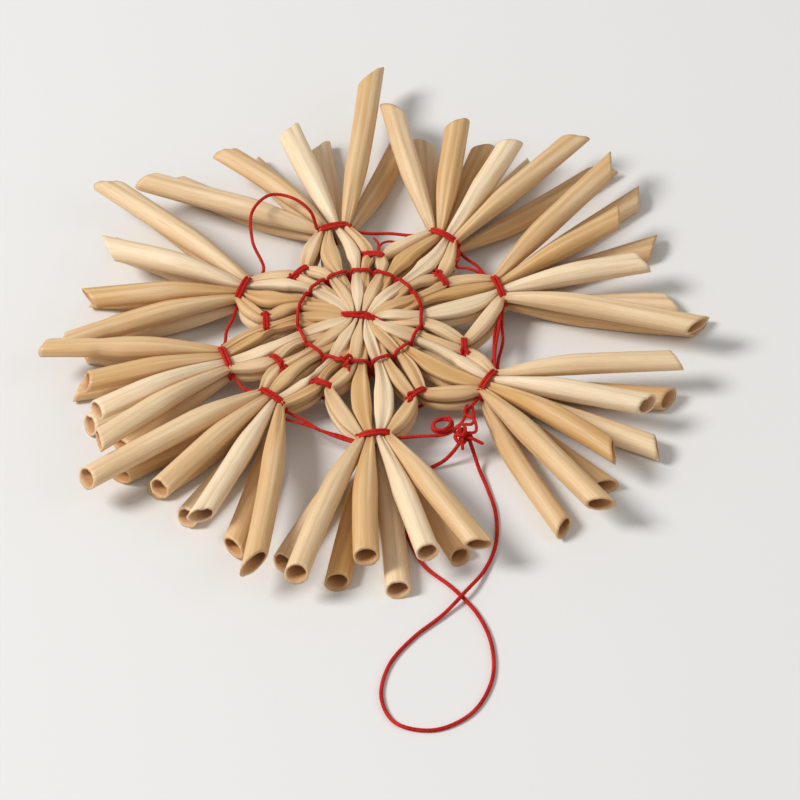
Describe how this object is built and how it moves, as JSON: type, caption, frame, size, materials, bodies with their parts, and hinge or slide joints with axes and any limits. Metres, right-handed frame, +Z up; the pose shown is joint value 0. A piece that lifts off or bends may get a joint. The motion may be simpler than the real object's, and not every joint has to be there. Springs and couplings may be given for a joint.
{
  "type": "straw ornament",
  "caption": "Flat star of whole straws, pinched in the middle, fanned out in layers and bound with thread, with a thread loop to hang it.",
  "frame": {"origin": "middle of the underside of the star's bounding box, on the surface that the star lies on; the free hanging loop isn't counted", "axes": "+Z up, across the flat star; the pinched bundle in the middle runs along the direction halfway between +X and +Y"},
  "size_m": [0.0838, 0.0941, 0.0083],
  "materials": {
    "straw_gold": "satin",
    "straw_tan": "satin",
    "straw_cream": "satin",
    "straw_warm": "satin",
    "red_thread": "matte"
  },
  "bodies": {
    "root": {"straw_01": "straw_gold", "straw_02": "straw_tan", "straw_03": "straw_cream", "straw_04": "straw_warm", "straw_05": "straw_gold", "straw_06": "straw_tan", "straw_07": "straw_cream", "straw_08": "straw_warm", "straw_09": "straw_gold", "straw_10": "straw_tan", "straw_11": "straw_cream", "straw_12": "straw_warm", "straw_13": "straw_gold", "straw_14": "straw_tan", "straw_15": "straw_cream", "straw_16": "straw_warm", "straw_17": "straw_gold", "straw_18": "straw_tan", "straw_19": "straw_cream", "straw_20": "straw_warm", "straw_21": "straw_gold", "straw_22": "straw_tan", "straw_23": "straw_cream", "straw_24": "straw_warm", "straw_25": "straw_gold", "straw_26": "straw_tan", "straw_27": "straw_cream", "straw_28": "straw_warm", "straw_29": "straw_gold", "straw_30": "straw_tan", "straw_31": "straw_cream", "straw_32": "straw_warm", "centre_tie": "red_thread", "inner_ring_thread": "red_thread", "pair_tie_1": "red_thread", "pair_tie_2": "red_thread", "pair_tie_3": "red_thread", "pair_tie_4": "red_thread", "pair_tie_5": "red_thread", "pair_tie_6": "red_thread", "pair_tie_7": "red_thread", "pair_tie_8": "red_thread", "fan_tie_thread": "red_thread", "loop_knot": "red_thread", "hanging_loop": "red_thread"}
  },
  "joints": []
}
